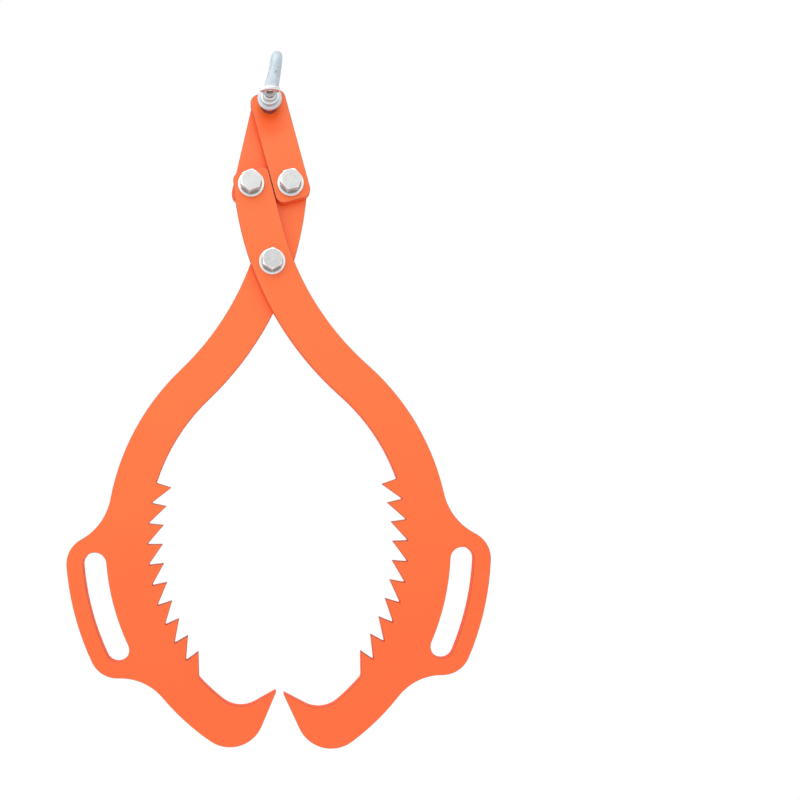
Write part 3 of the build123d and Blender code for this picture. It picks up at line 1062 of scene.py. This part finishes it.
class TONGS_OT_make_nuts(bpy.types.Operator):
    """Make the lock nuts and the nylon rings in them"""

    bl_idname = "tongs.make_nuts"
    bl_label = "Lock Nuts"

    def execute(self, context):
        for side in SIDES:
            make_fitting(context, f"{side}_lock_nut", "bright_zinc", HEX_ANGLE)
            make_fitting(context, f"{side}_lock_ring", "nylon", SOFT_ANGLE)
        return {"FINISHED"}


class TONGS_OT_make_bow(bpy.types.Operator):
    """Make the forged bow of the shackle"""

    bl_idname = "tongs.make_bow"
    bl_label = "Shackle Bow"

    def execute(self, context):
        metal = context.scene.tongs_metal
        node = "shackle_bow"
        work = bench_object(plain_mesh(merged_copy(node), node), node)
        soften(work, metal, metal.forging_grain)
        mesh = made_mesh(work, node)
        mark_turns(mesh, TURN_PASSES)
        self.mark_ears(mesh)
        settle(context, mesh, node, "galvanised")
        return {"FINISHED"}

    def mark_ears(self, mesh):
        """Marks the ears around the pin brighter and shinier, partly as a painted highlight, and their
        inner faces with a painted shade where they meet the links.
        """
        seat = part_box("shackle_bow")[1].y - EAR_THICKNESS
        bright, shaded = [], []
        for vert in mesh.vertices:
            away = math.hypot(vert.co.x - PIN_AXIS.x, vert.co.z - PIN_AXIS.z)
            share = min(max((EAR_REACH - away) / EAR_FADE, 0.0), 1.0)
            near = abs(abs(vert.co.y) - seat) < EAR_SEAT_DEPTH
            inner = near and vert.normal.y * vert.co.y < 0.0
            bright.append(EAR_HIGHLIGHT * share)
            shaded.append(share if inner else 0.0)
        mark_points(mesh, "polish", bright)
        mark_points(mesh, "grime", shaded)


class TONGS_OT_make_pin(bpy.types.Operator):
    """Make the screw pin with its collar, flat eye and thread"""

    bl_idname = "tongs.make_pin"
    bl_label = "Shackle Pin"

    def execute(self, context):
        metal = context.scene.tongs_metal
        node = "shackle_pin"
        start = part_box("shackle_bow")[1].y - PIN_THREAD_REACH
        form = merged_copy(node)
        cut_off(form, start)
        work = bench_object(plain_mesh(form, node), node)
        soften(work, metal, metal.forging_grain * PIN_GRAIN_SHARE)
        dip = finish_of(context, "galvanised")
        add_thread(work, node, start, PIN_RADIUS, metal.pin_pitch, PIN_POINT, dip)
        mesh = made_mesh(work, node)
        face_out(mesh)
        mark_turns(mesh, TURN_PASSES)
        self.mark_shade_and_reflection(mesh)
        settle(context, mesh, node, "galvanised")
        return {"FINISHED"}

    def mark_shade_and_reflection(self, mesh):
        """Marks a painted shade in the eye and a painted reflection of the coat on the shank between the
        links. The rest is polished.
        """
        eye = next(mount for mount in frame["record"]["mounts"] if mount["name"] == "pin_eye")
        middle = Vector(eye["pos_m"])
        radius = eye["dims"]["r_mm"] * MM + EYE_SHADE_MARGIN
        depth = eye["dims"]["length_mm"] * MM / 2
        paths = [vert.co - middle for vert in mesh.vertices]
        inside = [math.hypot(path.x, path.y) < radius and abs(path.z) < depth for path in paths]
        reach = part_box("left_link")[1].y + REFLECTION_REACH
        reflecting = [abs(vert.co.y) < reach for vert in mesh.vertices]
        mark_points(mesh, "grime", inside)
        mark_points(mesh, "rub", reflecting)
        mark_points(mesh, "polish", [not value for value in reflecting])


class TONGS_OT_make_stage(bpy.types.Operator):
    """Make the floor, the lamps, the even light and the camera"""

    bl_idname = "tongs.make_stage"
    bl_label = "Stage"

    def execute(self, context):
        scene = context.scene
        stage = scene.tongs_stage
        scene.view_settings.view_transform = "Standard"
        self.make_light(scene, stage)
        self.make_lamps(scene, stage)
        self.make_floor(scene, stage)
        self.make_camera(scene, stage)
        return {"FINISHED"}

    def make_light(self, scene, stage):
        """Even light from all sides, and a white background."""
        world = bpy.data.worlds.new("Even light")
        world.use_nodes = True
        world.node_tree.nodes.clear()
        sky = Bench(world.node_tree)
        lit = sky.node("ShaderNodeBackground", None, {"Color": WHITE, "Strength": stage.ambient})
        white = sky.node("ShaderNodeBackground", None, {"Color": WHITE, "Strength": 1.0})
        both = sky.node("ShaderNodeMixShader", None, {0: sky.seen(), 1: lit, 2: white})
        sky.node("ShaderNodeOutputWorld", None, {"Surface": both})
        scene.world = world

    def make_lamps(self, scene, stage):
        """Two large soft lamps that point at the middle of the tongs."""
        middle = (Vector(CAD_BOX[0]) + Vector(CAD_BOX[1])) / 2
        for name, place, width, power in LAMPS:
            lamp = bpy.data.lights.new(name, "AREA")
            lamp.shape = "DISK"
            lamp.size = width
            lamp.energy = getattr(stage, power)
            holder = bpy.data.objects.new(name, lamp)
            holder.location = middle + Vector(place)
            holder.rotation_euler = (-Vector(place)).to_track_quat("-Z", "Y").to_euler()
            scene.collection.objects.link(holder)

    def make_floor(self, scene, stage):
        """A pale floor that catches the shadow and turns white further out."""
        paint = Finish("floor_paint")
        spot = paint.spot()
        grain = paint.noise(spot, FLOOR_GRAIN, detail=3.0)
        tone = paint.mix(grain * FLOOR_SHADE, stage.floor_colour, stage.floor_shade)
        flat = paint.shader(Base_Color=tone, Roughness=0.75)
        glow = paint.node("ShaderNodeEmission", None, {"Color": WHITE, "Strength": 1.0})
        far = paint.ramp(paint.reach(spot), stage.shadow_reach / 3, stage.shadow_reach)
        edge = far * paint.seen()
        paint.close(paint.node("ShaderNodeMixShader", None, {0: edge, 1: flat, 2: glow}))
        form = bmesh.new()
        bmesh.ops.create_circle(form, cap_ends=True, radius=FLOOR_RADIUS, segments=FLOOR_SIDES)
        mesh = bpy.data.meshes.new("Floor")
        form.to_mesh(mesh)
        form.free()
        mesh.materials.append(paint.material)
        floor = bpy.data.objects.new("Floor", mesh)
        floor.location = (0.0, 0.0, CAD_BOX[0][2] - stage.floor_drop)
        scene.collection.objects.link(floor)

    def make_camera(self, scene, stage):
        """A camera square to the plates, with the lens shifted to the place of the tongs."""
        lens = bpy.data.cameras.new("Camera")
        lens.sensor_width = SENSOR_WIDTH
        lens.lens = SENSOR_WIDTH * stage.camera_distance / stage.picture_width
        lens.shift_x = stage.shift_right
        lens.shift_y = stage.shift_up
        camera = bpy.data.objects.new("Camera", lens)
        camera.location = (
            stage.camera_side, FRONT_LAYER - stage.camera_distance, stage.camera_height
        )
        upright = Matrix.Rotation(math.radians(90), 4, "X")
        turn = upright @ Matrix.Rotation(stage.camera_roll, 4, "Z")
        camera.rotation_euler = turn.to_euler()
        scene.collection.objects.link(camera)
        scene.camera = camera


class TONGS_PT_pieces(bpy.types.Panel):
    """The tongs' pieces in the order in which they are made"""

    bl_idname = "TONGS_PT_pieces"
    bl_label = "Log Tongs"
    bl_space_type = "VIEW_3D"
    bl_region_type = "UI"
    bl_category = "Log Tongs"

    def draw(self, context):
        for operator in OPERATORS:
            self.layout.operator(operator.bl_idname)
        for name, group in GROUPS.items():
            column = self.layout.column()
            for setting in group.__annotations__:
                column.prop(getattr(context.scene, name), setting)


GROUPS = {
    "tongs_coat": CoatSettings,
    "tongs_metal": MetalSettings,
    "tongs_stage": StageSettings,
}
OPERATORS = (
    TONGS_OT_make_arms,
    TONGS_OT_make_links,
    TONGS_OT_make_bolts,
    TONGS_OT_make_washers,
    TONGS_OT_make_nuts,
    TONGS_OT_make_bow,
    TONGS_OT_make_pin,
    TONGS_OT_make_stage,
)


def register():
    """Makes the settings, the operators and the panel known to Blender."""
    for name, group in GROUPS.items():
        bpy.utils.register_class(group)
        setattr(bpy.types.Scene, name, PointerProperty(type=group))
    for operator in OPERATORS:
        bpy.utils.register_class(operator)
    bpy.utils.register_class(TONGS_PT_pieces)


def unregister():
    """Takes them away again, in the opposite order."""
    bpy.utils.unregister_class(TONGS_PT_pieces)
    for operator in reversed(OPERATORS):
        bpy.utils.unregister_class(operator)
    for name, group in reversed(GROUPS.items()):
        delattr(bpy.types.Scene, name)
        bpy.utils.unregister_class(group)


def main():
    """Makes every piece and the stage."""
    register()
    bpy.ops.tongs.make_arms()
    bpy.ops.tongs.make_links()
    bpy.ops.tongs.make_bolts()
    bpy.ops.tongs.make_washers()
    bpy.ops.tongs.make_nuts()
    bpy.ops.tongs.make_bow()
    bpy.ops.tongs.make_pin()
    bpy.ops.tongs.make_stage()


if __name__ == "__main__":
    main()
